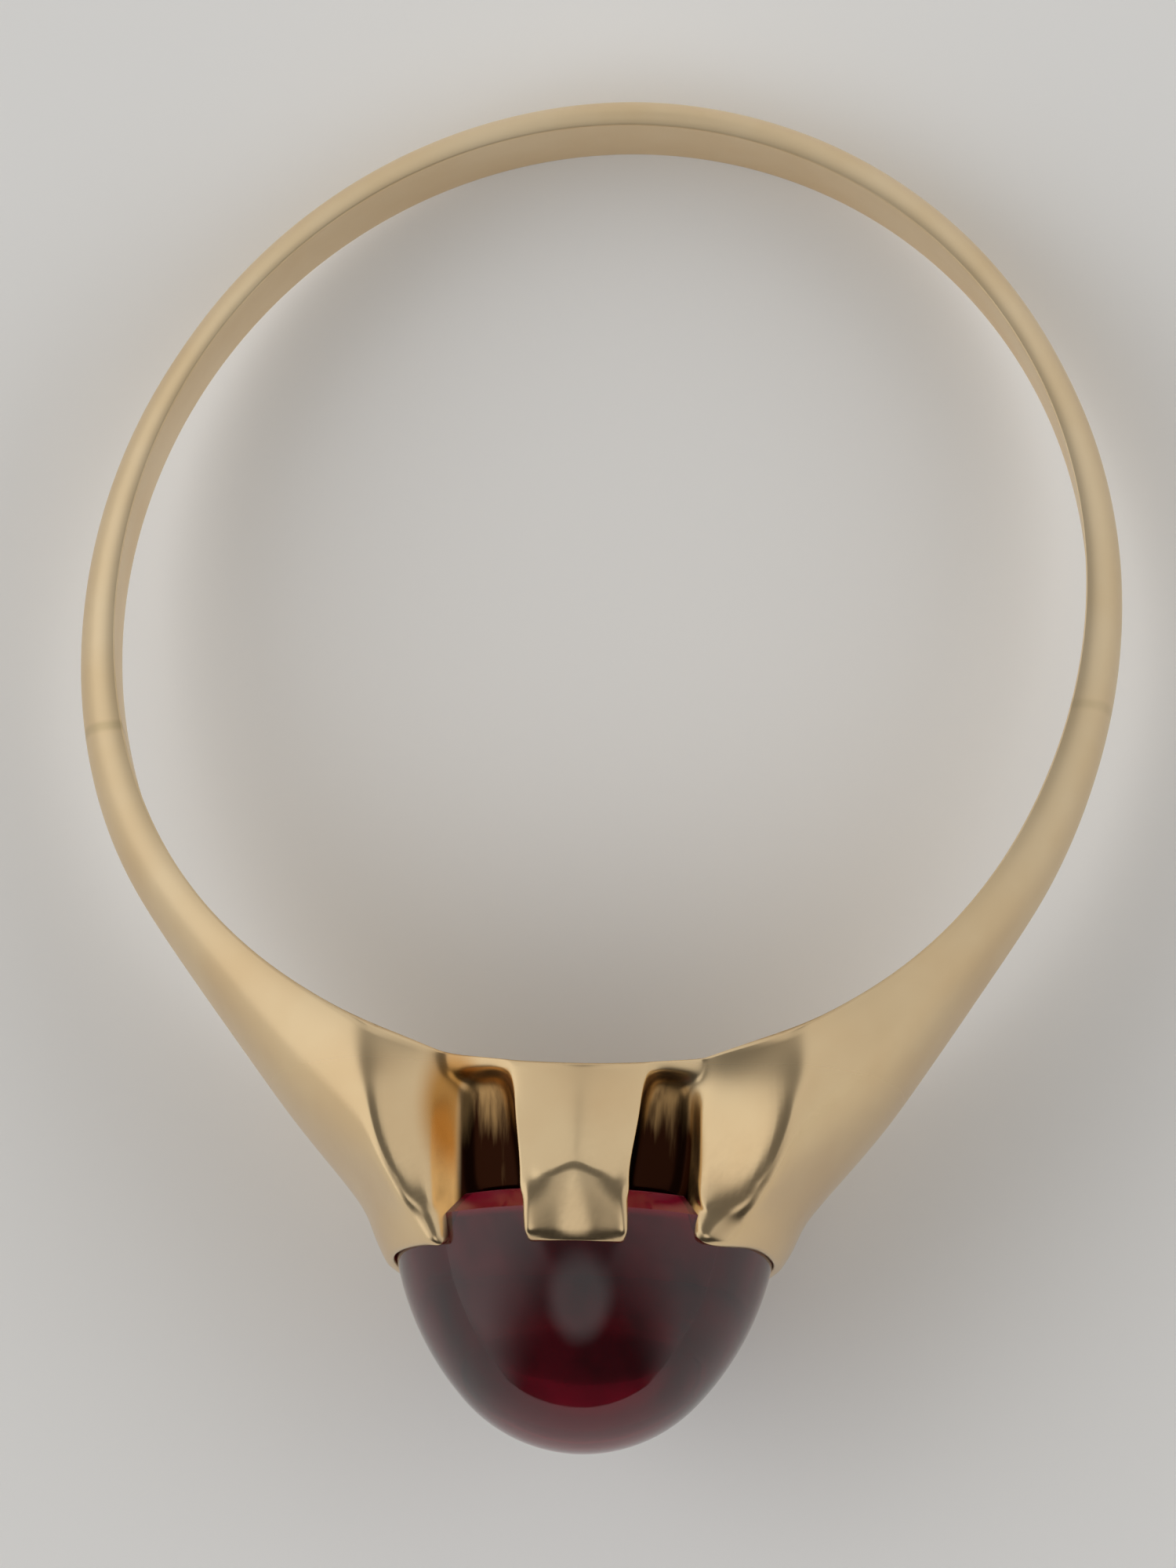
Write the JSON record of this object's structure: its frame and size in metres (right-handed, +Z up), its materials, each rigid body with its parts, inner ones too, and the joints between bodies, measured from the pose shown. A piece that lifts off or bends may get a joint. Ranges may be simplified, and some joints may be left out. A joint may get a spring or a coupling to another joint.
{
  "type": "gemstone ring",
  "caption": "Slim gold ring whose straight shoulders rise to a fluted claw head holding a tall, round, dark red cabochon.",
  "frame": {"origin": "on the surface that the ring lies on, under the middle of its bounding box", "axes": "+Z up off the surface, 8.5 degrees from the finger hole's axis; +Y from the stone towards the back of the hoop; +X to the right seen from above with the stone nearest the viewer"},
  "size_m": [0.0192, 0.0248, 0.0081],
  "materials": {
    "gold": "polished old yellow gold, worn and slightly hazy",
    "garnet": "polished, glassy, deep red"
  },
  "bodies": {
    "root": {"claw_mount": "gold", "cabochon": "garnet"}
  },
  "joints": []
}
